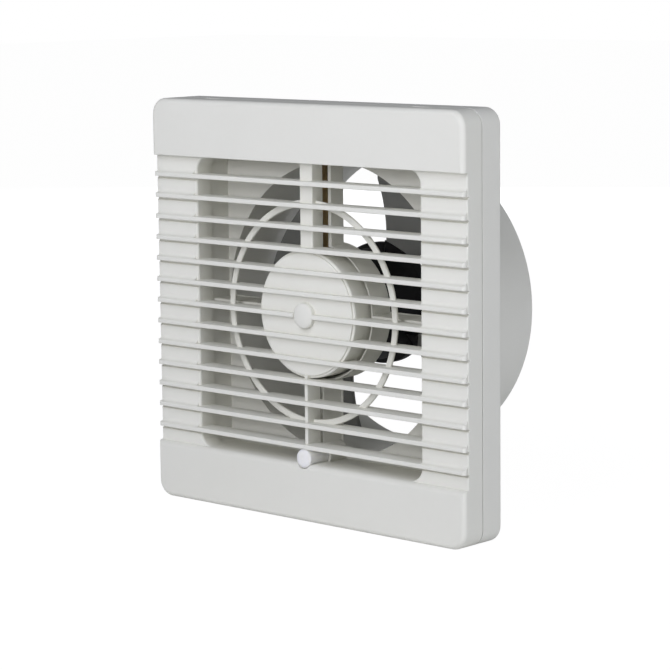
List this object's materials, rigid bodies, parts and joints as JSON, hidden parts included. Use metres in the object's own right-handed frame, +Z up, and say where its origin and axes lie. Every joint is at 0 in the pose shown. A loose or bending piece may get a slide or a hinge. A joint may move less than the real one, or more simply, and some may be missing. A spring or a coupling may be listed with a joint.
{
  "type": "window exhaust fan",
  "caption": "Square louvred exhaust fan with a shallow box, a round rear duct and a motor-driven paddle impeller; the front pulls off.",
  "frame": {"origin": "on the duct's axis, in the plane of the box's back face", "axes": "+X to the right as seen from the room, +Y from the room into the duct, +Z up"},
  "size_m": [0.198, 0.0837, 0.198],
  "materials": {
    "front_moulding": "off-white, satin",
    "box_moulding": "off-white, satin",
    "impeller_plastic": "grey blades on a black hub",
    "lens_plastic": "milky, polished",
    "lamp_glass": "clear, warm",
    "brown_insulation": "satin",
    "blue_insulation": "satin",
    "black_insulation": "satin",
    "grommet_rubber": "matt",
    "terminal_plastic": "natural white",
    "screw_steel": "zinc plated",
    "motor_steel": "zinc plated",
    "shaft_steel": "ground",
    "lamination_steel": "stacked sheet",
    "winding_copper": "enamelled copper wire",
    "bearing_bronze": "sintered"
  },
  "bodies": {
    "housing": {"rear_housing": "box_moulding", "motor_can": "motor_steel", "motor_end_cover": "motor_steel", "motor_screw_1": "screw_steel", "motor_screw_2": "screw_steel", "motor_screw_3": "screw_steel", "stator_core": "lamination_steel", "stator_coil_1": "winding_copper", "stator_coil_2": "winding_copper", "stator_coil_3": "winding_copper", "stator_coil_4": "winding_copper", "front_bearing": "bearing_bronze", "rear_bearing": "bearing_bronze", "lead_brown": "brown_insulation", "lead_blue": "blue_insulation", "terminal_block": "terminal_plastic", "terminal_screw_1": "screw_steel", "terminal_screw_2": "screw_steel", "terminal_screw_3": "screw_steel", "indicator_lens": "lens_plastic", "neon_lamp": "lamp_glass", "lamp_lead_1": "black_insulation", "lamp_lead_2": "black_insulation", "cable_grommet": "grommet_rubber"},
    "rotor": {"impeller": "impeller_plastic", "motor_shaft": "shaft_steel", "rotor_core": "lamination_steel", "impeller_washer": "shaft_steel", "impeller_nut": "shaft_steel"},
    "grille": {"front_grille": "front_moulding"}
  },
  "joints": [
    {"name": "impeller_spin", "type": "hinge", "parent": "housing", "child": "rotor", "pos_m": [0, 0, 0], "axis": [0, 1, 0], "continuous": true},
    {"name": "grille_pull", "type": "slide", "parent": "housing", "child": "grille", "axis": [0, -1, 0], "range_m": [0, 0.04]}
  ]
}
